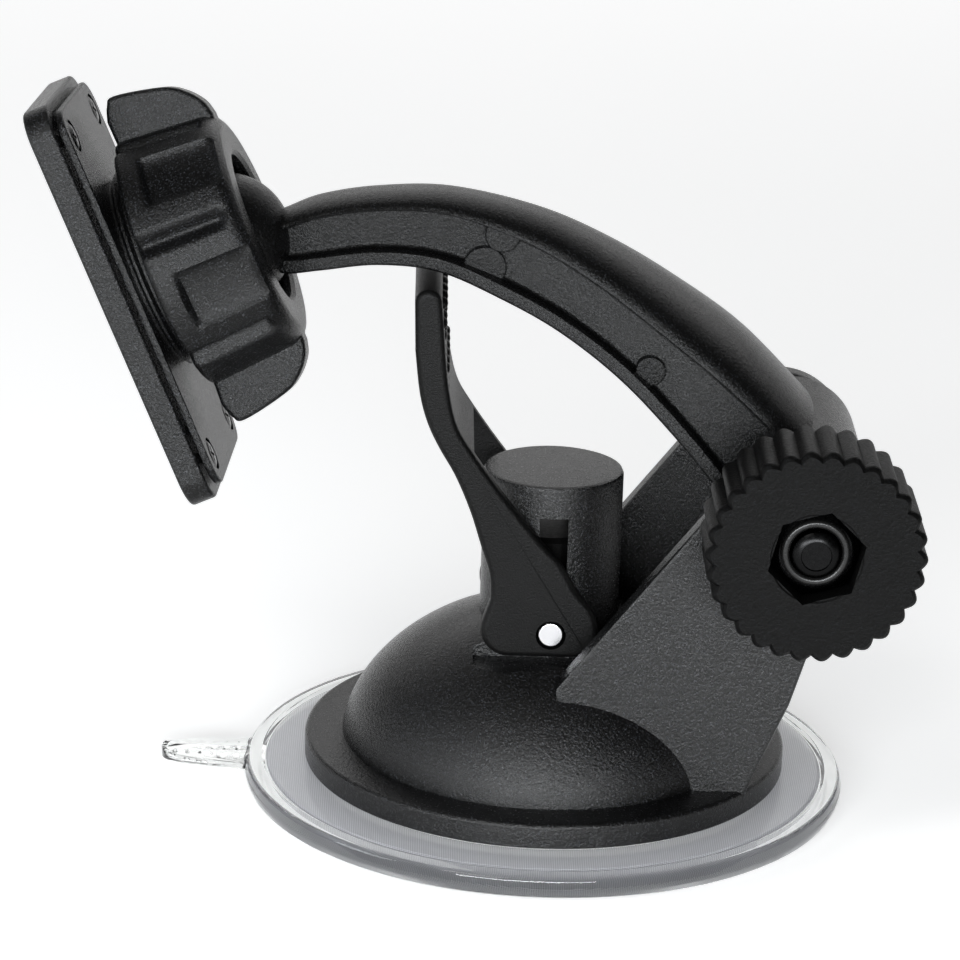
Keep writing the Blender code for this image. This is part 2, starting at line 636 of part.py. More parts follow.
def make_screws(frame):
    low = PLATE_U[0]
    steel = material("screw_steel", (0.08, 0.08, 0.08), 0.35, 1.0)
    for index, (x, y) in enumerate(SCREW_PLACES):
        head = low + SCREW_HEAD_H
        tip = PLATE_U[1] + 0.0017
        profile = [(0.0, tip), (SCREW_R, tip), (SCREW_R, head), (SCREW_HEAD_R, head), (SCREW_HEAD_R, low),
                   (0.0, low)]
        screw = turned("plate_screw_%d" % (index + 1), profile, steps=12, parent=frame)
        screw.location = (x, y, 0.0)
        finish(screw, steel)


def make_collar_nut(frame):
    rear, front = NUT_U
    rear_r, front_r = NUT_R
    profile = [(front_r - 0.0005, front), (front_r, front - 0.0005), (rear_r, rear + 0.0010),
               (rear_r - 0.0010, rear), (COLLAR_MOUTH_R, rear), (COLLAR_MOUTH_R, rear + 0.0014),
               (THREAD_R + GAP, rear + 0.0016), (THREAD_R + GAP, front)]
    nut = turned("collar_nut", profile, steps=40, closed=True, parent=frame)
    for side in (-1, 1):
        wing = tool(slab, "wing_%d" % side, [(side * r, u) for u, r in WING_OUTLINE], WING_HALF, parent=frame)
        join(nut, wing)
    for index in range(COLLAR_GROOVES):
        angle = 2 * pi * (index + 0.5) / COLLAR_GROOVES + GROOVE_SPIN
        groove = tool(rod, "groove_%d" % index, GROOVE_R, rear - 0.001, front + 0.001, parent=frame, sides=12)
        groove.location = (front_r * cos(angle), front_r * sin(angle), 0.0)
        cut(nut, groove)
    return finish(nut, material("nut_abs", (0.033, 0.032, 0.031), 0.5))


# ---- assembly -----------------------------------------------------------------------------------
make_suction_cup()
make_base_housing()
make_stem()
make_pin()
make_spring()
make_lever()
make_arm()
make_bolt()
make_washers()
make_knob()
make_nut()
head_axis = Matrix.Rotation(-(pi / 2 + HEAD_TILT), 3, 'Y')
head_frame = empty("head_frame", BALL, head_axis @ Matrix.Rotation(HEAD_SPIN, 3, 'Z'))
collar_frame = empty("collar_frame", BALL, head_axis @ Matrix.Rotation(COLLAR_SPIN, 3, 'Z'))
make_ball_seat(head_frame)
make_clamp_ring(head_frame)
make_head_socket(head_frame)
make_camera_plate(head_frame)
make_screws(head_frame)
make_collar_nut(collar_frame)
bpy.context.view_layer.update()
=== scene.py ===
"""Looks of the dash camera windscreen mount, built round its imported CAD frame. Metres, +Z up."""
import json
from math import asin, atan2, cos, degrees, pi, radians, sin, sqrt, tan

import bmesh
import bpy
from mathutils import Matrix, Vector


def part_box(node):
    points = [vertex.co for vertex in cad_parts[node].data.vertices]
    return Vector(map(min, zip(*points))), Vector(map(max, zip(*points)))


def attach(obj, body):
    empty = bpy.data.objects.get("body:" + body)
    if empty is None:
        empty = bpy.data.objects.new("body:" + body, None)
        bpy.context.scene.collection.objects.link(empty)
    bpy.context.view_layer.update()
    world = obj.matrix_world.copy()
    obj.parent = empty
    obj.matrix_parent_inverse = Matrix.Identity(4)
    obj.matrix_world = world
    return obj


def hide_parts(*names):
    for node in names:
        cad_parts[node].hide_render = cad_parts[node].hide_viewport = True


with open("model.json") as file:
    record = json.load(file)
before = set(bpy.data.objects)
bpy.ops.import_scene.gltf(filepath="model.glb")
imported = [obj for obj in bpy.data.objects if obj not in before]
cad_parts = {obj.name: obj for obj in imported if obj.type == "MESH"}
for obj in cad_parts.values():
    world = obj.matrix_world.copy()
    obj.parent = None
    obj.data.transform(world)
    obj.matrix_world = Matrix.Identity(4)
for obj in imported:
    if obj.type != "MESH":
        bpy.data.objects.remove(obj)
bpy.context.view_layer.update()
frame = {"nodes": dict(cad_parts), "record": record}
JOINTS = {joint["name"]: joint for joint in frame["record"]["behaviour"]["joints"]}
PIVOT = Vector(JOINTS["arm_pivot"]["pos_m"])
PIN = Vector(JOINTS["lever_fold"]["pos_m"])
BALL = Vector(JOINTS["head_roll"]["pos_m"])
HEAD_AXIS = Vector(JOINTS["head_roll"]["axis"])
HEAD_UP = Vector(JOINTS["head_yaw"]["axis"])

# ---- camera -------------------------------------------------------------------------------------
CAMERA_PLACE = Vector((-0.01795, -0.50312, 0.21088))
CAMERA_AZIMUTH = -0.017         # radians; the camera stands this far round from -Y
CAMERA_ELEVATION = 0.326
CAMERA_ROLL = 0.032
CAMERA_LENS = 155.8


def make_camera():
    az, el, roll = CAMERA_AZIMUTH, CAMERA_ELEVATION, CAMERA_ROLL
    back = Vector((sin(az) * cos(el), -cos(az) * cos(el), sin(el)))
    right = (-back).cross(Vector((0.0, 0.0, 1.0))).normalized()
    up = right.cross(-back)
    rolled_right = right * cos(roll) + up * sin(roll)
    rolled_up = up * cos(roll) - right * sin(roll)
    turn = Matrix((rolled_right, rolled_up, back)).transposed()
    data = bpy.data.cameras.new("camera")
    data.lens = CAMERA_LENS
    data.sensor_width = 36.0
    camera = bpy.data.objects.new("camera", data)
    camera.matrix_world = Matrix.Translation(CAMERA_PLACE) @ turn.to_4x4()
    bpy.context.scene.collection.objects.link(camera)
    bpy.context.scene.camera = camera


# ---- studio -------------------------------------------------------------------------------------
FLOOR_Z = -0.0004
FLOOR_HALF = 3.0
FLOOR_GLOW = 0.46
WORLD_STRENGTH = 0.06
LIGHT_AIM = Vector((-0.005, 0.0, 0.035))
# Name, place, width and height, watts, colour.
LIGHTS = [
    ("front_strip", (-0.10, -0.85, 0.20), (0.8, 0.18), 12.0, (0.95, 0.98, 1.0)),
    ("key", (-0.30, -0.50, 0.70), (0.30, 0.30), 1.0, (1.0, 0.98, 0.95)),
    ("left", (-0.75, -0.25, 0.30), (0.35, 0.35), 2.0, (0.92, 0.96, 1.0)),
    ("backdrop", (0.0, 0.85, 0.42), (1.3, 0.7), 3.0, (1.0, 1.0, 1.0)),
]


def area_light(name, place, size, power, colour):
    data = bpy.data.lights.new(name, 'AREA')
    data.shape = 'RECTANGLE'
    data.size, data.size_y = size
    data.energy = power
    data.color = colour
    lamp = bpy.data.objects.new(name, data)
    lamp.location = place
    lamp.rotation_euler = (LIGHT_AIM - Vector(place)).to_track_quat('-Z', 'Y').to_euler()
    bpy.context.scene.collection.objects.link(lamp)


def make_floor():
    bm = bmesh.new()
    bmesh.ops.create_grid(bm, x_segments=1, y_segments=1, size=FLOOR_HALF,
                          matrix=Matrix.Translation((0.0, 0.0, FLOOR_Z)))
    mesh = to_mesh("floor", bm)
    floor = bpy.data.objects.new("floor", mesh)
    bpy.context.scene.collection.objects.link(floor)
    mat, _, _, shader = new_material("floor")
    shader.inputs["Base Color"].default_value = (0.95, 0.95, 0.95, 1.0)
    shader.inputs["Roughness"].default_value = 0.9
    shader.inputs["Specular IOR Level"].default_value = 0.1
    shader.inputs["Emission Color"].default_value = (1.0, 1.0, 1.0, 1.0)
    shader.inputs["Emission Strength"].default_value = FLOOR_GLOW
    mesh.materials.append(mat)


def make_studio():
    world = bpy.data.worlds.new("studio")
    world.use_nodes = True
    background = world.node_tree.nodes["Background"]
    background.inputs["Color"].default_value = (1.0, 1.0, 1.0, 1.0)
    background.inputs["Strength"].default_value = WORLD_STRENGTH
    bpy.context.scene.world = world
    bpy.context.scene.view_settings.view_transform = 'Standard'
    make_floor()
    for light in LIGHTS:
        area_light(*light)


# ---- mesh helpers -------------------------------------------------------------------------------
def to_mesh(name, bm):
    bmesh.ops.recalc_face_normals(bm, faces=bm.faces)
    mesh = bpy.data.meshes.new(name)
    bm.to_mesh(mesh)
    bm.free()
    return mesh


def skin(rings):
    """Closed solid through rings of equal length, capped at both ends."""
    bm = bmesh.new()
    rows = [[bm.verts.new(point) for point in ring] for ring in rings]
    count = len(rows[0])
    for near, far in zip(rows, rows[1:]):
        for i in range(count):
            j = (i + 1) % count
            bm.faces.new((near[i], near[j], far[j], far[i]))
    bm.faces.new(rows[0][::-1])
    bm.faces.new(rows[-1])
    return to_mesh("skin", bm)


def turned(profile, steps=128, closed=False):
    """Profile of (radius, height) points turned about Z; a function gives it for each angle."""
    bm = bmesh.new()
    columns = []
    for i in range(steps):
        angle = 2 * pi * i / steps
        points = profile(angle) if callable(profile) else profile
        columns.append([bm.verts.new((r * cos(angle), r * sin(angle), z)) for r, z in points])
    count = len(columns[0])
    for i in range(steps):
        near, far = columns[i], columns[(i + 1) % steps]
        for k in range(count if closed else count - 1):
            m = (k + 1) % count
            bm.faces.new((near[k], far[k], far[m], near[m]))
    bmesh.ops.remove_doubles(bm, verts=bm.verts, dist=0.000001)
    return to_mesh("turned", bm)


def fillet(corners, steps=6, closed=True):
    """Outline through corners (x, y, radius), each rounded by its radius."""
    points = []
    count = len(corners)
    for i, (x, y, radius) in enumerate(corners):
        here = Vector((x, y))
        if not radius or (not closed and i in (0, count - 1)):
            points.append((x, y))
            continue
        before = Vector(corners[i - 1][:2]) - here
        after = Vector(corners[(i + 1) % count][:2]) - here
        half = before.angle(after) / 2
        reach = min(radius / tan(half), 0.49 * before.length, 0.49 * after.length)
        real = reach * tan(half)
        centre = here + (before.normalized() + after.normalized()).normalized() * real / sin(half)
        start = here + before.normalized() * reach - centre
        end = here + after.normalized() * reach - centre
        for k in range(steps + 1):
            point = centre + start.lerp(end, k / steps).normalized() * real
            points.append((point.x, point.y))
    return points


def arc(centre, radius, start, end, steps):
    """Points of an arc in a plane; angles in degrees."""
    angles = [radians(start + (end - start) * i / steps) for i in range(steps + 1)]
    return [(centre[0] + radius * cos(a), centre[1] + radius * sin(a)) for a in angles]


def between(a, b, c, d, t):
    """Point at t from 0 to 1 between b and c, on a smooth curve whose other neighbours are a and d."""
    linear = c - a
    square = 2 * a - 5 * b + 4 * c - d
    cube = 3 * b - 3 * c + d - a
    return 0.5 * (2 * b + linear * t + square * t * t + cube * t ** 3)


def curve_through(points, steps):
    """Smooth curve through points of any dimension, ends included."""
    padded = [points[0], *points, points[-1]]
    result = []
    for i in range(1, len(padded) - 2):
        for k in range(steps):
            result.append(tuple(between(*values, k / steps) for values in zip(*padded[i - 1:i + 3])))
    return result + [tuple(points[-1])]


def inset(outline, amount):
    """Outline moved inwards by amount."""
    count = len(outline)
    sides = [(outline[i - 1], outline[i]) for i in range(count)]
    turns = sum(a[0] * b[1] - b[0] * a[1] for a, b in sides)
    side = 1.0 if turns > 0 else -1.0
    result = []
    for i in range(count):
        here = Vector(outline[i])
        before = (here - Vector(outline[i - 1])).normalized()
        after = (Vector(outline[(i + 1) % count]) - here).normalized()
        normal = Vector((-before.y - after.y, before.x + after.x)).normalized() * side
        lean = max(0.5, side * normal.dot(Vector((-before.y, before.x))))
        result.append(tuple(here + normal * amount / lean))
    return result


def prism(outline, low, high, edge=0.0, steps=3, across='y'):
    """Flat outline drawn out from low to high across y or z, with its rims rounded by edge."""
    if edge:
        rim = [(edge * (1 - sin(pi / 2 * k / steps)), edge * (1 - cos(pi / 2 * k / steps)))
               for k in range(steps + 1)]
        layers = [(i, low + h) for i, h in rim] + [(i, high - h) for i, h in rim[::-1]]
    else:
        layers = [(0.0, low), (0.0, high)]
    rings = []
    for amount, height in layers:
        points = inset(outline, amount) if amount else outline
        rings.append([(x, height, z) if across == 'y' else (x, z, height) for x, z in points])
    return skin(rings)


def moved(mesh, x=0.0, y=0.0, z=0.0, turn=None):
    if turn is not None:
        mesh.transform(turn)
    mesh.transform(Matrix.Translation((x, y, z)))
    return mesh


def polygon(radius, sides, spin=0.0):
    return [(radius * cos(spin + 2 * pi * i / sides), radius * sin(spin + 2 * pi * i / sides))
            for i in range(sides)]


def block(low, high):
    outline = [(low[0], low[2]), (high[0], low[2]), (high[0], high[2]), (low[0], high[2])]
    return prism(outline, low[1], high[1])


def rod_y(radius, low, high, centre=(0.0, 0.0), sides=48, edge=0.0):
    outline = [(centre[0] + x, centre[1] + z) for x, z in polygon(radius, sides)]
    return prism(outline, low, high, edge)


def carve(mesh, joined=(), cut=()):
    """The solid with others joined on, then others cut away."""
    keep = bpy.data.objects.new("work", mesh)
    bpy.context.scene.collection.objects.link(keep)
    tools = []
    for operation, solids in (('UNION', joined), ('DIFFERENCE', cut)):
        for solid in solids:
            tool = bpy.data.objects.new("tool", solid)
            bpy.context.scene.collection.objects.link(tool)
            tools.append(tool)
            modifier = keep.modifiers.new(operation, 'BOOLEAN')
            modifier.operation = operation
            modifier.solver = 'EXACT'
            modifier.object = tool
    graph = bpy.context.evaluated_depsgraph_get()
    result = bpy.data.meshes.new_from_object(keep.evaluated_get(graph))
    for obj in (keep, *tools):
        bpy.data.objects.remove(obj)
    return result


def piece(name, mesh, body, slot, at=None, smooth=32.0):
    """Shown piece that stands for the CAD node in its name and rides on that node's body."""
    mesh.name = name
    mesh.materials.clear()
    mesh.materials.append(LOOKS[slot])
    if at is not None:
        mesh.transform(at)
    obj = bpy.data.objects.new(name, mesh)
    bpy.context.scene.collection.objects.link(obj)
    mesh.shade_smooth()
    mesh.set_sharp_from_angle(angle=radians(smooth))
    even = obj.modifiers.new("even_shading", 'WEIGHTED_NORMAL')
    even.keep_sharp = True
    even.weight = 80
    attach(obj, body)
    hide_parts(name.replace("look_", ""))


# ---- materials ----------------------------------------------------------------------------------
def new_material(name):
    mat = bpy.data.materials.new(name)
    mat.use_nodes = True
    return mat, mat.node_tree.nodes, mat.node_tree.links, mat.node_tree.nodes["Principled BSDF"]


def noise(nodes, links, coords, size, detail, rough):
    """Noise whose grains are about size metres across."""
    texture = nodes.new("ShaderNodeTexNoise")
    texture.inputs["Scale"].default_value = 1.0 / size
    texture.inputs["Detail"].default_value = detail
    texture.inputs["Roughness"].default_value = rough
    links.new(coords, texture.inputs["Vector"])
    return texture.outputs["Fac"]


def remap(nodes, links, value, from_low, from_high, to_low, to_high):
    node = nodes.new("ShaderNodeMapRange")
    limits = {"From Min": from_low, "From Max": from_high, "To Min": to_low, "To Max": to_high}
    for key, number in limits.items():
        node.inputs[key].default_value = number
    links.new(value, node.inputs["Value"])
    return node.outputs["Result"]


NOISE_RANGE = (0.3, 0.7)        # where nearly all of a noise's values lie


def spread(nodes, links, value, low, high):
    """Noise stretched over low to high."""
    return remap(nodes, links, value, *NOISE_RANGE, low, high)


def maths(nodes, links, operation, a, b):
    node = nodes.new("ShaderNodeMath")
    node.operation = operation
    for socket, value in zip(node.inputs, (a, b)):
        if isinstance(value, (int, float)):
            socket.default_value = value
        else:
            links.new(value, socket)
    return node.outputs["Value"]


def mixed(nodes, links, first, second, factor):
    """Colour between a first colour, or a socket's, and a second colour."""
    node = nodes.new("ShaderNodeMix")
    node.data_type = 'RGBA'
    if isinstance(first, tuple):
        node.inputs["A"].default_value = (*first, 1.0)
    else:
        links.new(first, node.inputs["A"])
    node.inputs["B"].default_value = (*second, 1.0)
    links.new(factor, node.inputs["Factor"])
    return node.outputs["Result"]


def bumped(nodes, links, height, depth, shader):
    node = nodes.new("ShaderNodeBump")
    node.inputs["Distance"].default_value = depth
    links.new(height, node.inputs["Height"])
    links.new(node.outputs["Normal"], shader.inputs["Normal"])


BLACK_TINT = (1.0, 0.97, 0.94)
SHADE_LOW, SHADE_HIGH = 0.75, 1.3
CLOUD_SIZE = 0.009
CLOUD_SHARE = 0.6               # part of the unevenness in wide clouds; the rest is in the grain
FINE_GRAIN = 0.45               # size of the finest grain, as a part of the grain
# Painted glints: small bright bluish specks painted into the base colour, standing in for sparkle
# highlights.
PAINTED_GLINT_SIZE = 0.00022
PAINTED_GLINT_RANGE = (0.58, 0.74)      # noise values over which a glint appears
PAINTED_GLINT_TINT = (0.90, 0.96, 1.10)


def moulded(name, shade, roughness, grain, depth, painted_glint, specular):
    """Moulded black plastic: spark-eroded grain, glints painted as small bright specks into the base
    colour (painted highlights), and a faint unevenness of colour.
    """
    mat, nodes, links, shader = new_material(name)
    coords = nodes.new("ShaderNodeTexCoord").outputs["Object"]
    pits = noise(nodes, links, coords, grain, 3.0, 0.7)
    fine = noise(nodes, links, coords, grain * FINE_GRAIN, 1.0, 0.5)
    height = maths(nodes, links, 'ADD', spread(nodes, links, pits, 0.0, 1.0),
                   maths(nodes, links, 'MULTIPLY', fine, 0.5))
    bumped(nodes, links, height, depth, shader)
    uneven = spread(nodes, links, pits, roughness * 0.8, roughness * 1.2)
    links.new(uneven, shader.inputs["Roughness"])
    cloud = noise(nodes, links, coords, CLOUD_SIZE, 3.0, 0.6)
    factor = maths(nodes, links, 'ADD', maths(nodes, links, 'MULTIPLY', cloud, CLOUD_SHARE),
                   maths(nodes, links, 'MULTIPLY', pits, 1 - CLOUD_SHARE))
    dark, light = (tuple(shade * part * tint for tint in BLACK_TINT) for part in (SHADE_LOW, SHADE_HIGH))
    black = mixed(nodes, links, dark, light, factor)
    # Painted highlight: bright glint specks mixed into the base colour, so they show wherever light
    # falls.
    painted_glint_noise = noise(nodes, links, coords, PAINTED_GLINT_SIZE, 1.0, 0.5)
    painted_glint_mask = remap(nodes, links, painted_glint_noise, *PAINTED_GLINT_RANGE, 0.0, 1.0)
    bright = tuple(painted_glint * tint for tint in PAINTED_GLINT_TINT)
    links.new(mixed(nodes, links, black, bright, painted_glint_mask), shader.inputs["Base Color"])
    shader.inputs["Specular IOR Level"].default_value = specular
    return mat


STEEL_GRAIN = 0.0004
STEEL_DEPTH = 0.000004


def metal(name, shade, roughness):
    """Steel with faint marks in its shade and polish."""
    mat, nodes, links, shader = new_material(name)
    coords = nodes.new("ShaderNodeTexCoord").outputs["Object"]
    marks = noise(nodes, links, coords, STEEL_GRAIN, 4.0, 0.7)
    links.new(spread(nodes, links, marks, roughness * 0.7, roughness * 1.3), shader.inputs["Roughness"])
    dark = (shade * 0.85, shade * 0.85, shade * 0.87)
    light = (shade, shade, shade * 1.02)
    links.new(mixed(nodes, links, dark, light, marks), shader.inputs["Base Color"])
    bumped(nodes, links, marks, STEEL_DEPTH, shader)
    shader.inputs["Metallic"].default_value = 1.0
    return mat


WEAVE_RING = (0.0300, 0.0362)   # radii of the woven ring on the cup
WEAVE_PITCH = 0.00055
WEAVE_DEPTH = 0.00003
WEAVE_FADE = 0.0002
WEAVE_COVER = (0.45, 0.85)
PVC_COLOUR = (0.975, 0.99, 0.982, 1.0)
CLOTH_COLOUR = (0.66, 0.66, 0.70, 1.0)


def woven_ring(nodes, links, x, y):
    """Heights of the weave, and how far a point is inside its ring."""
    squares = [maths(nodes, links, 'MULTIPLY', value, value) for value in (x, y)]
    radius = maths(nodes, links, 'SQRT', maths(nodes, links, 'ADD', *squares), 0.0)
    low, high = WEAVE_RING
    inner = remap(nodes, links, radius, low, low + WEAVE_FADE, 0.0, 1.0)
    outer = remap(nodes, links, radius, high - WEAVE_FADE, high, 1.0, 0.0)
    waves = []
    for operation in ('ADD', 'SUBTRACT'):
        diagonal = maths(nodes, links, operation, x, y)
        along = maths(nodes, links, 'MULTIPLY', diagonal, 2 * pi / WEAVE_PITCH)
        waves.append(maths(nodes, links, 'SINE', along, 0.0))
    return maths(nodes, links, 'MULTIPLY', *waves), maths(nodes, links, 'MULTIPLY', inner, outer)


def clear_pvc():
    """Clear PVC with a fine diagonal weave moulded into the ring outside the flange."""
    mat, nodes, links, shader = new_material("clear_pvc")
    shader.inputs["Transmission Weight"].default_value = 1.0
    shader.inputs["IOR"].default_value = 1.5
    shader.inputs["Base Color"].default_value = PVC_COLOUR
    coords = nodes.new("ShaderNodeTexCoord").outputs["Object"]
    uneven = noise(nodes, links, coords, 0.004, 3.0, 0.6)
    links.new(spread(nodes, links, uneven, 0.01, 0.07), shader.inputs["Roughness"])
    split = nodes.new("ShaderNodeSeparateXYZ")
    links.new(coords, split.inputs["Vector"])
    weave, ring = woven_ring(nodes, links, split.outputs["X"], split.outputs["Y"])
    cloth = nodes.new("ShaderNodeBsdfPrincipled")
    cloth.inputs["Base Color"].default_value = CLOTH_COLOUR
    cloth.inputs["Roughness"].default_value = 0.4
    cloth.inputs["Transmission Weight"].default_value = 0.35
    bumped(nodes, links, weave, WEAVE_DEPTH, cloth)
    blend = nodes.new("ShaderNodeMixShader")
    cover = maths(nodes, links, 'MULTIPLY', ring, remap(nodes, links, weave, -1.0, 1.0, *WEAVE_COVER))
    links.new(cover, blend.inputs["Fac"])
    links.new(shader.outputs["BSDF"], blend.inputs[1])
    links.new(cloth.outputs["BSDF"], blend.inputs[2])
    links.new(blend.outputs["Shader"], nodes["Material Output"].inputs["Surface"])
    return mat


# Name: shade, roughness, grain, depth of grain, glint (brightness of the highlight specks painted into
# the base colour), specular.
PLASTICS = {
    "textured_abs": (0.0020, 0.24, 0.00036, 0.00006, 0.026, 0.36),
    "arm_abs": (0.0020, 0.25, 0.00034, 0.000055, 0.016, 0.20),
    "lever_abs": (0.0030, 0.38, 0.00028, 0.00004, 0.007, 0.12),
    "knob_abs": (0.0022, 0.42, 0.00036, 0.00005, 0.006, 0.08),
    "head_abs": (0.0020, 0.24, 0.00034, 0.00006, 0.030, 0.25),
    "stem_nylon": (0.0020, 0.45, 0.0004, 0.00001, 0.003, 0.05),
    "washer_nylon": (0.0060, 0.30, 0.0004, 0.00001, 0.01, 0.4),
    "seat_rubber": (0.0060, 0.75, 0.0003, 0.00002, 0.01, 0.2),
}
LOOKS = {name: moulded(name, *numbers) for name, numbers in PLASTICS.items()}
LOOKS["clear_pvc"] = clear_pvc()
LOOKS["bright_steel"] = metal("bright_steel", 0.85, 0.16)
LOOKS["dark_steel"] = metal("dark_steel", 0.012, 0.28)


# ---- suction cup --------------------------------------------------------------------------------
CUP_LOW, CUP_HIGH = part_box("suction_cup")
CUP_R = (CUP_HIGH.y - CUP_LOW.y) / 2
TAB_END_R = -CUP_LOW.x
TAB_ANGLE = radians(178.0)
TAB_HALF_W = 0.0051
TAB_TIP_HALF_W = 0.0031
TAB_Z = (0.0010, 0.0024)


TAB_ROWS = 72
TAB_COLUMNS = 24
TAB_EDGE = 0.0006
TAB_ROOT = 0.0020               # how far the tab reaches in from the cup's edge
DOT_PITCH = 0.0016
DOT_HEIGHT = 0.00030
DOT_LINE = 0.55                 # where the dots run, as a part of the half width
RIB_HEIGHT = 0.00025


def tab_half_width(s):
    """Half width of the tab at a radius: a straight taper with a round tip."""
    start = CUP_R - TAB_ROOT
    along = (s - start) / (TAB_END_R - start)
    width = TAB_HALF_W + (TAB_TIP_HALF_W - TAB_HALF_W) * min(1.0, along * 1.15)
    from_tip = TAB_END_R - s
    if from_tip < TAB_TIP_HALF_W:
        width *= sqrt(max(0.003, 1 - (1 - from_tip / TAB_TIP_HALF_W) ** 2))
    return width


def make_tab():
    """Pull tab: a tapering tongue with a centre rib and small raised dots down both sides."""
    start = CUP_R - TAB_ROOT
    across = [2 * k / TAB_COLUMNS - 1 for k in range(TAB_COLUMNS + 1)]
    rings = []
    for i in range(TAB_ROWS + 1):
        s = start + (TAB_END_R - start) * i / TAB_ROWS
        width = tab_half_width(s)
        top = []
        bottom = []
        for t in across:
            edge = TAB_EDGE * (1 - sqrt(max(0.0, 1 - t ** 6)))
            beside = max(0.0, cos((abs(t) - DOT_LINE) * 5.0)) ** 4
            dots = DOT_HEIGHT * max(0.0, cos(2 * pi * s / DOT_PITCH)) * beside
            rib = RIB_HEIGHT * max(0.0, 1 - abs(t) * 7)
            top.append((s, t * width, TAB_Z[1] - edge + dots + rib))
            bottom.append((s, t * width, TAB_Z[0] + edge))
        rings.append(top + bottom[::-1])
    return moved(skin(rings), turn=Matrix.Rotation(TAB_ANGLE, 4, 'Z'))


def make_cup():
    top = CUP_HIGH.z
    low, high = WEAVE_RING
    corners = [(0.0, top - 0.0004, 0.0), (low - 0.0010, top - 0.0004, 0.0), (low, top - 0.0002, 0.0004),
               (high - 0.0004, top - 0.0002, 0.0001), (high, top - 0.0005, 0.0002),
               (high + 0.0006, top - 0.0001, 0.0004), (CUP_R - 0.0004, top - 0.0003, 0.0007),
               (CUP_R, 0.0012, 0.0012), (CUP_R - 0.0004, 0.0, 0.0005), (0.0, 0.0, 0.0)]
    mesh = carve(turned(fillet(corners, 6, closed=False), 192), joined=[make_tab()])
    piece("look_suction_cup", mesh, "base", "clear_pvc", smooth=40.0)


# ---- base housing -------------------------------------------------------------------------------
BASE_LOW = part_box("base_housing")[0]
FLANGE_R = -BASE_LOW.x
FLANGE_TOP = 0.00655
DOME_R = 0.02626
DOME_H = 0.0181
DOME_POWER = 0.6
POST_R = 0.00895
POST_TOP = 0.0429
POST_WALL = 0.0020
SLOT_HALF = 0.0018
SLOT_Z = (0.0218, 0.0388)
EAR_Y = (0.0158, 0.0190)
EAR_R = 0.0093
EAR_TOP = (PIVOT.x - 0.0014, PIVOT.z - 0.0006)
EAR_FRONT_FOOT = (PIVOT.x - 0.0305, PIVOT.z - 0.0230)
EAR_REAR_FOOT = (PIVOT.x + 0.0009, PIVOT.z - 0.0178)
EAR_EDGE = 0.0005
HEAD_BOSS_R = 0.0069
HEAD_BOSS_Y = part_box("pivot_bolt")[1].y - 0.0006
BOLT_HOLE_R = 0.0033
HEX_AF = 0.0100
LEDGE_Z = PIN.z - 0.0037        # flat under each side of the lever
LEDGE_X = (-0.0098, 0.0080)
LEDGE_Y = (0.00915, 0.0150)
BASE_WALL = 0.0018
CEILING_Z = 0.0180              # top of the spring's well
SPRING_WELL_R = 0.0129
THROAT_R = 0.0064
BOLT_HOLE_REACH = 0.025
HEX_POCKET_R = (HEX_AF / 2 + 0.0003) / cos(pi / 6)
HEX_POCKET_Y = 0.0173
BRACE = [(0.0215, 0.0050), (0.0238, 0.0050), (0.0285, 0.0186), (0.0300, 0.0232), (0.0275, 0.0232),
         (0.0255, 0.0186)]      # wall that ties the two ears together behind the dome
BRACE_LAP = 0.0008


def dome_points(steps):
    points = []
    for i in range(steps + 1):
        r = POST_R + (DOME_R - POST_R) * sin(pi / 2 * i / steps)
        points.append((r, FLANGE_TOP + DOME_H * max(0.0, 1 - (r / DOME_R) ** 2) ** DOME_POWER))
    return points


def tangent_angle(point, side):
    """Where a line from the point touches the ear's round top, in degrees."""
    reach = Vector(point) - Vector(EAR_TOP)
    return degrees(atan2(reach.y, reach.x) + side * (pi / 2 - asin(EAR_R / reach.length)))


def ear_outline():
    start = tangent_angle(EAR_REAR_FOOT, 1.0)
    end = tangent_angle(EAR_FRONT_FOOT, -1.0) % 360
    top = arc(EAR_TOP, EAR_R, start, end, 40)
    hidden = [(0.0015, 0.0080, 0.0), (0.0050, 0.0050, 0.0)]
    rear = [(0.0236, 0.0038, 0.0), (0.0250, 0.0058, 0.0), (0.0258, 0.0084, 0.002),
            (0.0300, 0.0184, 0.002)]
    return fillet(hidden + rear + [(*EAR_REAR_FOOT, 0.0)]) + top + [EAR_FRONT_FOOT]


def base_skin():
    """Flange, dome and post in one turned shape."""
    post = [(0.0, POST_TOP), (POST_R - 0.0006, POST_TOP), (POST_R - 0.0002, POST_TOP - 0.00015),
            (POST_R, POST_TOP - 0.0006), (POST_R, FLANGE_TOP + DOME_H + 0.0005)]
    foot = BASE_LOW.z
    flange = fillet([(DOME_R, FLANGE_TOP, 0.0), (FLANGE_R, FLANGE_TOP, 0.0006), (FLANGE_R, foot, 0.0003),
                     (0.0, foot, 0.0)], 4, closed=False)
    return turned(post + dome_points(48) + flange[1:], 160)


def base_cavity():
    """Hollow of the post and dome, open underneath."""
    foot = BASE_LOW.z
    post_r = POST_R - POST_WALL
    under = FLANGE_R - BASE_WALL
    post = [(0.0, POST_TOP - POST_WALL), (post_r, POST_TOP - POST_WALL), (post_r, CEILING_Z + 0.0030)]
    throat = [(THROAT_R, CEILING_Z + 0.0030), (THROAT_R, CEILING_Z), (SPRING_WELL_R, CEILING_Z)]
    dome = [(0.0205, 0.0126), (0.0235, 0.0070)]
    mouth = [(under, foot + BASE_WALL), (under, foot - 0.001), (0.0, foot - 0.001)]
    return turned(post + throat + dome + mouth, 96)


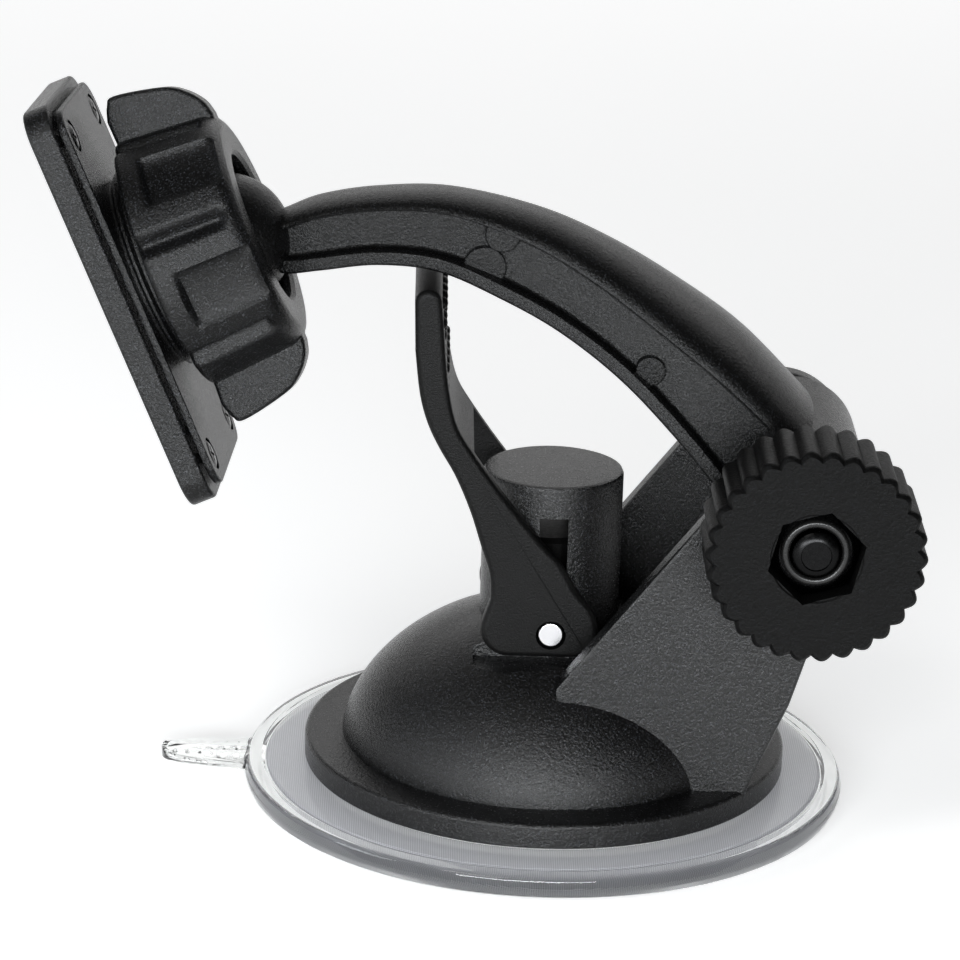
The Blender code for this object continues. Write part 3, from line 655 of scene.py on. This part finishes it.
def make_base():
    outline = ear_outline()
    joined = []
    for side in (-1, 1):
        low, high = sorted((side * EAR_Y[0], side * EAR_Y[1]))
        joined.append(prism(outline, low, high, EAR_EDGE, 2))
    joined.append(prism(BRACE, -EAR_Y[0] - BRACE_LAP, EAR_Y[0] + BRACE_LAP))
    centre = (PIVOT.x, PIVOT.z)
    joined.append(rod_y(HEAD_BOSS_R, EAR_Y[1] - 0.0010, HEAD_BOSS_Y, centre, 64, 0.0004))
    pocket = [(PIVOT.x + x, PIVOT.z + z) for x, z in polygon(HEX_POCKET_R, 6)]
    cut = [base_cavity(), prism(pocket, HEX_POCKET_Y, HEAD_BOSS_Y + 0.001),
           rod_y(BOLT_HOLE_R, -BOLT_HOLE_REACH, BOLT_HOLE_REACH, centre),
           block((-SLOT_HALF, -0.02, SLOT_Z[0]), (SLOT_HALF, 0.02, SLOT_Z[1]))]
    for side in (-1, 1):
        low, high = sorted((side * LEDGE_Y[0], side * LEDGE_Y[1]))
        cut.append(block((LEDGE_X[0], low, LEDGE_Z), (LEDGE_X[1], high, 0.0300)))
    housing = carve(base_skin(), joined, cut)
    piece("look_base_housing", housing, "base", "textured_abs")


# ---- lever and pin ------------------------------------------------------------------------------
LEVER_LOW, LEVER_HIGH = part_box("lock_lever")
LEVER_Y = (0.0093, LEVER_HIGH.y)
LEVER_TOP = LEVER_HIGH.z - PIN.z
LEVER_CROTCH = 0.0236
LEVER_EDGE = 0.0008
CAM_FLAT = PIN.z - LEVER_LOW.z
CAM_NOSE_R = 0.0060
CAM_HEEL = 0.0089
CAM_HEEL_R = 0.0036
LEVER_TIP_R = 0.0017
PIN_HOLE_R = 0.0019


def lever_outline():
    """Side view about the pin: flat cam face, round nose, leaning fork, upright handle."""
    heel = arc((CAM_HEEL_R - CAM_HEEL, CAM_HEEL_R - CAM_FLAT), CAM_HEEL_R, 270, 165, 14)
    nose_start = degrees(asin(-CAM_FLAT / CAM_NOSE_R))
    nose = arc((0.0, 0.0), CAM_NOSE_R, nose_start, 42, 20)
    front = curve_through([(-0.0078, 0.0044), (-0.0080, 0.0078), (-0.0092, 0.0116), (-0.0107, 0.0162),
                           (-0.0127, 0.0208), (-0.0147, 0.0242), (-0.0163, 0.0275), (-0.0174, 0.0314),
                           (-0.0181, 0.0370)], 4)
    top = arc((-0.0166, LEVER_TOP - LEVER_TIP_R), LEVER_TIP_R, 180, 0, 16)
    back = curve_through([(-0.0146, 0.0400), (-0.0141, 0.0345), (-0.0135, 0.0306), (-0.0126, 0.0273),
                          (-0.0110, 0.0245), (-0.0070, 0.0189), (-0.0018, 0.0124), (0.0008, 0.0096),
                          (0.0022, 0.0072), (0.0030, 0.0058)], 4)
    return heel + front + top + back + nose[::-1]


BUMP_ROWS, BUMPS_ACROSS = 6, 6
BUMP_PITCH = 0.0032
BUMP_STAGGER = 0.0008           # alternate rows step this far to either side
BUMP_ROW_START, BUMP_ROW_STEP = 0.0318, 0.0021
BUMP_FACE_X = -0.0146
BUMP_LEAN, BUMP_LEAN_BELOW = 0.0005, 0.0345     # the low rows follow the handle's lean
BUMP_PROFILE = [(0.0, 0.00045), (0.0006, 0.00035), (0.0009, 0.0), (0.0009, -0.0006), (0.0, -0.0006)]


def grip_bumps():
    """Staggered rows of small oval bumps on the handle's rear face."""
    turn = Matrix.Rotation(pi / 2, 4, 'Y') @ Matrix.Diagonal((0.8, 1.25, 1.0, 1.0))
    bumps = []
    for row in range(BUMP_ROWS):
        z = BUMP_ROW_START + row * BUMP_ROW_STEP
        x = BUMP_FACE_X + (BUMP_LEAN if z < BUMP_LEAN_BELOW else 0.0)
        shift = BUMP_STAGGER if row % 2 else -BUMP_STAGGER
        for place in range(BUMPS_ACROSS):
            y = (place - (BUMPS_ACROSS - 1) / 2) * BUMP_PITCH + shift
            bumps.append(moved(turned(BUMP_PROFILE, 20), x, y, z, turn))
    return bumps


def make_lever():
    lever = prism(lever_outline(), -LEVER_Y[1], LEVER_Y[1], LEVER_EDGE, 3)
    gap = block((-0.0200, -LEVER_Y[0], -0.0060), (0.0120, LEVER_Y[0], LEVER_CROTCH))
    hole = rod_y(PIN_HOLE_R, -0.02, 0.02)
    mesh = carve(lever, grip_bumps(), [gap, hole])
    piece("look_lock_lever", mesh, "lever", "lever_abs", Matrix.Translation(PIN))


def make_pin():
    low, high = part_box("lever_pin")
    radius = (high.z - low.z) / 2
    pin = rod_y(radius, low.y, high.y, sides=48, edge=0.0002)
    piece("look_lever_pin", pin, "stem", "bright_steel", Matrix.Translation(PIN))


# ---- arm ----------------------------------------------------------------------------------------
# Stations from the ball's neck to the barrel, measured from the pivot: bottom x and z, top x and z,
# half width, crown height.
ARM_STATIONS = [
    (-0.0690, 0.0262, -0.0690, 0.0318, 0.0029, 0.0015),
    (-0.0655, 0.0257, -0.0655, 0.0333, 0.0037, 0.0016),
    (-0.0610, 0.0265, -0.0613, 0.0349, 0.0046, 0.0015),
    (-0.0540, 0.0275, -0.0542, 0.0361, 0.0050, 0.0015),
    (-0.0465, 0.0270, -0.0450, 0.0363, 0.0056, 0.0019),
    (-0.0387, 0.0241, -0.0340, 0.0340, 0.0069, 0.0030),
    (-0.0312, 0.0205, -0.0248, 0.0301, 0.0088, 0.0038),
    (-0.0236, 0.0153, -0.0160, 0.0249, 0.0112, 0.0044),
    (-0.0165, 0.0085, -0.0071, 0.0185, 0.0132, 0.0046),
    (-0.0095, 0.0003, 0.0015, 0.0098, 0.0139, 0.0040),
]
STATION_STEPS = 8
RECESS_DEPTH = 0.0026
RECESS_RIM = 0.0018
RECESS_END = 8.75               # station where the flank's recess stops
CROWN_STEPS = 28
PIPS = [(-0.0407, 0.0275, 0.0027, 0.0046), (-0.0386, 0.0318, 0.0022, 0.0049),
        (-0.0198, 0.0162, 0.0019, 0.0100)]      # round marks in the recess: x, z, radius, half width
BALL_R = 0.0085
BARREL_R = 0.0088
BARREL_HALF = 0.0143


def arm_ring(station, place):
    """Section with a flat underside, hollowed flanks and a crowned top."""
    x0, z0, x1, z1, half_w, crown = station
    low = Vector((x0, 0.0, z0))
    rise = Vector((x1, 0.0, z1)) - low
    up, height = rise.normalized(), rise.length
    ease = max(0.0, min(1.0, (RECESS_END - place) / 0.12))
    depth = max(0.00001, min(RECESS_DEPTH, 0.42 * half_w) * ease)
    brow = height - crown
    floor = half_w - depth
    flank = fillet([(0.0, 0.0, 0.0), (half_w, 0.0, 0.0004), (half_w, RECESS_RIM, 0.00025),
                    (floor, RECESS_RIM + 0.0002, 0.0006), (floor, brow - 0.0002, 0.0006),
                    (half_w, brow, 0.00025), (half_w, brow + 0.0003, 0.0)], 3, closed=False)[1:-1]
    turns = [pi * i / CROWN_STEPS for i in range(1, CROWN_STEPS)]
    top = [(half_w * cos(turn), brow + crown * sin(turn)) for turn in turns]
    points = flank + top + [(-y, h) for y, h in flank[::-1]]
    return [low + up * h + Vector((0.0, y, 0.0)) for y, h in points]


def make_arm():
    stations = curve_through(ARM_STATIONS, STATION_STEPS)
    rings = [arm_ring(s, i / STATION_STEPS) for i, s in enumerate(stations)]
    ball_at = BALL - PIVOT
    ball = turned([(BALL_R * sin(pi * i / 48), BALL_R * cos(pi * i / 48)) for i in range(49)], 96)
    barrel = rod_y(BARREL_R, -BARREL_HALF, BARREL_HALF, sides=96, edge=0.0004)
    joined = [moved(ball, *ball_at), barrel]
    for x, z, radius, half in PIPS:
        joined.append(rod_y(radius, -half, half, (x, z), 32, 0.0002))
    arm = carve(skin(rings), joined, [rod_y(BOLT_HOLE_R, -BOLT_HOLE_REACH, BOLT_HOLE_REACH)])
    at = Matrix.Translation(PIVOT)
    piece("look_swing_arm", arm, "arm", "arm_abs", at, smooth=38.0)


# ---- clamp knob, nut and bolt -------------------------------------------------------------------
# These are turned about local Z, which points out of the knob's face, towards -Y.
CLAMP_AT = Matrix.Translation(PIVOT) @ Matrix.Rotation(pi / 2, 4, 'X')
KNOB_LOW, KNOB_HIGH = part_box("clamp_knob")
KNOB_R = (KNOB_HIGH.x - KNOB_LOW.x) / 2
KNOB_Z = (-KNOB_HIGH.y, -KNOB_LOW.y)
KNOB_FLUTES = 30
FLUTE_DEPTH = 0.0008
HEX_SPIN = radians(16.0)
POCKET_DEPTH = 0.0068


FACE_RING_R = 0.0055            # shallow step round the nut
FACE_STEP = 0.0002
NUT_CORNER_R = HEX_AF / 2 / cos(pi / 6)
NUT_SEAT_R = 0.0045
NUT_SEAT_DEPTH = 0.0015
INSERT_R = 0.0042
BOLT_R = 0.0029
BOLT_HEAD_H = 0.0040
CORNER_DROP = 0.0009            # chamfer on the nut's corners
OUTSIDE_R = 0.0100


def knob_profile(angle):
    radius = KNOB_R - FLUTE_DEPTH * (1 - abs(cos(KNOB_FLUTES * angle / 2)))
    back, front = KNOB_Z
    face = front - FACE_STEP
    return [(0.0, back), (radius - 0.0005, back), (radius, back + 0.0005), (radius, front - 0.0007),
            (radius - 0.0002, front - 0.0003), (radius - 0.0006, front),
            (FACE_RING_R + FACE_STEP, front), (FACE_RING_R, face), (FACE_RING_R - FACE_STEP, face),
            (0.0, face)]


def make_knob():
    knob = turned(knob_profile, KNOB_FLUTES * 16)
    front = KNOB_Z[1]
    hexagon = polygon(HEX_POCKET_R, 6, HEX_SPIN)
    pocket = prism(hexagon, front - POCKET_DEPTH, front + 0.001, across='z')
    bore = prism(polygon(BOLT_HOLE_R, 48), KNOB_Z[0] - 0.001, front + 0.001, across='z')
    knob = carve(knob, [], [pocket, bore])
    piece("look_clamp_knob", knob, "knob", "knob_abs", CLAMP_AT, smooth=34.0)


def make_nut():
    low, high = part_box("lock_nut")
    floor, face = -high.y, -low.y
    hexagon = polygon(NUT_CORNER_R, 6, HEX_SPIN)
    crown = turned([(0.0, face + 0.001), (OUTSIDE_R, face + 0.001), (OUTSIDE_R, face - CORNER_DROP),
                    (NUT_CORNER_R, face - CORNER_DROP), (NUT_CORNER_R - 0.0013, face),
                    (NUT_CORNER_R - 0.0016, face + 0.0005), (0.0, face + 0.0005)], 64)
    bore = prism(polygon(BOLT_HOLE_R, 48), floor - 0.001, face + 0.001, across='z')
    seat = prism(polygon(NUT_SEAT_R, 48), face - NUT_SEAT_DEPTH, face + 0.001, across='z')
    nut = carve(prism(hexagon, floor, face, across='z'), [], [crown, bore, seat])
    piece("look_lock_nut", nut, "knob", "dark_steel", CLAMP_AT)


def make_insert():
    low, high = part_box("nut_insert")
    inner = BOLT_HOLE_R - 0.0001
    profile = fillet([(inner, -high.y, 0.0), (INSERT_R, -high.y, 0.0), (INSERT_R, -low.y, 0.0004),
                      (inner, -low.y, 0.0004)], 4)
    insert = turned(profile, 64, closed=True)
    piece("look_nut_insert", insert, "knob", "washer_nylon", CLAMP_AT)


def make_bolt():
    low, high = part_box("pivot_bolt")
    tip, back = -low.y, -high.y
    shank = turned([(0.0, back + 0.001), (BOLT_R, back + 0.001), (BOLT_R, tip - 0.0005),
                    (BOLT_R - 0.0005, tip - 0.0001), (BOLT_R - 0.0010, tip),
                    (BOLT_R - 0.0011, tip - 0.0002), (0.0, tip - 0.0002)], 64)
    hexagon = prism(polygon(NUT_CORNER_R, 6), back, back + BOLT_HEAD_H, across='z')
    trim = turned([(0.0, back - 0.001), (OUTSIDE_R, back - 0.001), (OUTSIDE_R, back + 0.0008),
                   (NUT_CORNER_R, back + 0.0008), (NUT_CORNER_R - 0.0012, back),
                   (NUT_CORNER_R - 0.0015, back - 0.0005), (0.0, back - 0.0005)], 64)
    bolt = carve(hexagon, [shank], [trim])
    piece("look_pivot_bolt", bolt, "base", "dark_steel", CLAMP_AT)


# ---- head: socket, camera plate, collar nut -----------------------------------------------------
# Built about the ball with local Z along the head's axis and local X up the plate.
HEAD_TURN = Matrix((HEAD_UP, HEAD_AXIS.cross(HEAD_UP), HEAD_AXIS)).transposed().to_4x4()
HEAD_SPIN = radians(5.0)
COLLAR_SPIN = radians(13.0)
HEAD_AT = Matrix.Translation(BALL) @ HEAD_TURN @ Matrix.Rotation(HEAD_SPIN, 4, 'Z')
COLLAR_AT = Matrix.Translation(BALL) @ HEAD_TURN @ Matrix.Rotation(COLLAR_SPIN, 4, 'Z')
NUT_U = (-0.0053, 0.0081)
NUT_R = (0.0153, 0.0164)
THREAD_R = 0.0128
PLATE_U = (0.0104, 0.0117, 0.0150)
PLATE_SHIFT = -0.0012
PLATE_SIZE = (0.0530, 0.0310)
PLATE_STEP = 0.0013
PLATE_CORNER_R = 0.0040
SCREW_PLACES = [(x + PLATE_SHIFT, y) for x in (-0.0215, 0.0215) for y in (-0.0105, 0.0105)]
SCREW_HOLE_R = 0.0011
SCREW_SINK = (0.0021, 0.0008)   # radius and depth of the recess for a screw's head
SEAT_R = BALL_R + 0.0015
RING_BORE_R = 0.0107            # room for the split clamp ring
SOCKET_REAR = -0.0034
THREAD_START = -0.0030
THREAD_PITCH = 0.0015
THREAD_TURNS = 9
THREAD_ROOT_R = THREAD_R - 0.0006
WING_ROOT_R = 0.0135
WING_FEET = (0.0078, -0.0048)
WING_OUTLINE = [(0.0080, 0.0190), (0.0073, 0.0209), (0.0060, 0.0218), (0.0, 0.0206), (-0.0025, 0.0192),
                (-0.0042, 0.0172), (-0.0048, 0.0153)]       # height along the axis, radius
WING_HALF = 0.0021
COLLAR_MOUTH_R = 0.0096
COLLAR_EDGES = (0.0008, 0.0024)     # front and rear rounding
LOBE_PITCH = pi / 3
VALLEY_HALF = radians(6.5)
VALLEY_DEPTH = 0.0015
DIMPLE_HALF = radians(14.0)
DIMPLE_DEPTH = 0.0013
DIMPLE_U = (-0.0046, 0.0053)
LOBE_SPIN = radians(10.6)        # lobes turned from the wings


def rounded_rectangle(length, width, radius):
    half_l, half_w = length / 2, width / 2
    corners = [(half_l, half_w), (-half_l, half_w), (-half_l, -half_w), (half_l, -half_w)]
    return [(x + PLATE_SHIFT, y) for x, y in fillet([(*corner, radius) for corner in corners], 10)]


def thread_profile():
    """Solid barrel of the socket with the thread's ridges down its side."""
    profile = [(0.0, SOCKET_REAR), (THREAD_R - 0.0007, SOCKET_REAR)]
    for i in range(THREAD_TURNS):
        start = THREAD_START + i * THREAD_PITCH
        profile += [(THREAD_ROOT_R, start), (THREAD_R, start + 0.0004), (THREAD_R, start + 0.0007),
                    (THREAD_ROOT_R, start + 0.0011)]
    end = PLATE_U[0] + 0.0004
    return profile + [(THREAD_ROOT_R, end), (0.0, end)]


def socket_hollow():
    """Round seat for the ball, opening into the clamp ring's bore."""
    seat = [(SEAT_R * sin(radians(a)), SEAT_R * cos(radians(a))) for a in range(8, 73, 8)]
    bore = [(RING_BORE_R, 0.0029), (RING_BORE_R, -0.0057), (0.0, -0.0057)]
    return turned([(0.0, SEAT_R)] + seat + bore, 64)


def make_socket():
    low, high = PLATE_U[0], PLATE_U[1] - 0.0003
    length, width = (size - 2 * PLATE_STEP for size in PLATE_SIZE)
    outline = rounded_rectangle(length, width, PLATE_CORNER_R - PLATE_STEP / 2)
    base = prism(outline, low, high, 0.0003, 2, 'z')
    cut = [socket_hollow()]
    sink_r, sink = SCREW_SINK
    for x, y in SCREW_PLACES:
        cut.append(moved(prism(polygon(sink_r, 32), low - 0.001, low + sink, across='z'), x, y))
        cut.append(moved(prism(polygon(SCREW_HOLE_R, 24), low - 0.002, high + 0.001, across='z'), x, y))
    socket = carve(base, [turned(thread_profile(), 128)], cut)
    piece("look_head_socket", socket, "head", "head_abs", HEAD_AT)


def make_plate():
    low, high = PLATE_U[1:]
    plate = prism(rounded_rectangle(*PLATE_SIZE, PLATE_CORNER_R), low, high, 0.0004, 3, 'z')
    holes = []
    for x, y in SCREW_PLACES:
        holes.append(moved(prism(polygon(SCREW_HOLE_R, 24), low - 0.001, low + 0.002, across='z'), x, y))
    piece("look_camera_plate", carve(plate, [], holes), "head", "head_abs", HEAD_AT)


def smooth_step(value):
    value = max(0.0, min(1.0, value))
    return value * value * (3 - 2 * value)


def collar_side():
    """Outer side of the collar from its front to its rear, with enough points to shape the dimples."""
    rear, front = NUT_U
    rear_r, front_r = NUT_R
    front_edge, rear_edge = COLLAR_EDGES
    corners = [(0.0125, front, 0.0), (front_r, front, front_edge), (rear_r, rear, rear_edge),
               (COLLAR_MOUTH_R, rear, 0.0)]
    outer = fillet(corners, 6, closed=False)[1:-1]
    steps = 28
    (r0, u0), (r1, u1) = outer[6], outer[7]
    middle = [(r0 + (r1 - r0) * k / steps, u0 + (u1 - u0) * k / steps) for k in range(1, steps)]
    return outer[:7] + middle + outer[7:]


def collar_profile(angle):
    """Ring profile at one angle, with the valleys between lobes and the finger dimples."""
    rear, front = NUT_U
    around = angle - LOBE_SPIN
    index = round(around / LOBE_PITCH)
    lobe = around - index * LOBE_PITCH
    valley = 1 - smooth_step((LOBE_PITCH / 2 - abs(lobe)) / VALLEY_HALF)
    shaped = []
    for r, u in collar_side():
        drop = VALLEY_DEPTH * valley * smooth_step((u - rear - 0.0016) / 0.0014)
        if index % 3:
            across = sqrt(max(0.0, 1 - (lobe / DIMPLE_HALF) ** 2))
            along = smooth_step((u - DIMPLE_U[0]) / 0.0008) * smooth_step((DIMPLE_U[1] - u) / 0.0008)
            drop += DIMPLE_DEPTH * across * along
        shaped.append((r - drop, u))
    bore = THREAD_R + 0.0003
    return shaped + [(COLLAR_MOUTH_R + 0.0006, rear), (COLLAR_MOUTH_R, rear + 0.0004),
                     (COLLAR_MOUTH_R, rear + 0.0014), (bore, rear + 0.0016), (bore, front - 0.0004),
                     (bore + 0.0003, front)]


def make_collar():
    nut = turned(collar_profile, 360, closed=True)
    wings = []
    outline = curve_through(WING_OUTLINE, 5)
    for side in (-1, 1):
        shape = [(side * r, u) for u, r in outline]
        feet = [(side * WING_ROOT_R, u) for u in WING_FEET]
        wings.append(prism([feet[0], *shape, feet[1]], -WING_HALF, WING_HALF, 0.0006, 3))
    collar = carve(nut, wings)
    piece("look_collar_nut", collar, "collar", "head_abs", COLLAR_AT, smooth=40.0)


SCREW_HEAD_R = 0.0018
SCREW_SHANK_R = 0.0008
CROSS_ARM = (0.0010, 0.0002)     # half length and half width
CROSS_TURN = 0.4


def screw_cross(low):
    """Two bars that cut a cross in the screw's head."""
    length, width = CROSS_ARM
    outline = [(-length, -width), (length, -width), (length, width), (-length, width)]
    bars = []
    for angle in (CROSS_TURN, CROSS_TURN + pi / 2):
        bar = prism(outline, low - 0.001, low + 0.0003, across='z')
        bars.append(moved(bar, turn=Matrix.Rotation(angle, 4, 'Z')))
    return bars


def make_screws():
    low = PLATE_U[0]
    head = low + 0.0005
    tip = PLATE_U[1] + 0.0017
    profile = [(0.0, tip), (SCREW_SHANK_R, tip - 0.0002), (SCREW_SHANK_R, head), (SCREW_HEAD_R, head),
               (SCREW_HEAD_R, low + 0.0002), (SCREW_HEAD_R - 0.0004, low), (0.0, low)]
    for index, (x, y) in enumerate(SCREW_PLACES):
        screw = carve(turned(profile, 32), [], screw_cross(low))
        name = "plate_screw_%d" % (index + 1)
        at = HEAD_AT @ Matrix.Translation((x, y, 0.0))
        piece("look_" + name, screw, "head", "dark_steel", at)


# ---- assembly -----------------------------------------------------------------------------------
make_camera()
make_studio()
make_cup()
make_base()
make_lever()
make_pin()
make_arm()
make_knob()
make_nut()
make_insert()
make_bolt()
make_socket()
make_plate()
make_collar()
make_screws()
for part in frame["record"]["subparts"]:
    kept = frame["nodes"][part["node"]]
    if not kept.hide_render:
        kept.data.materials.clear()
        kept.data.materials.append(LOOKS[part["material_slot"]])
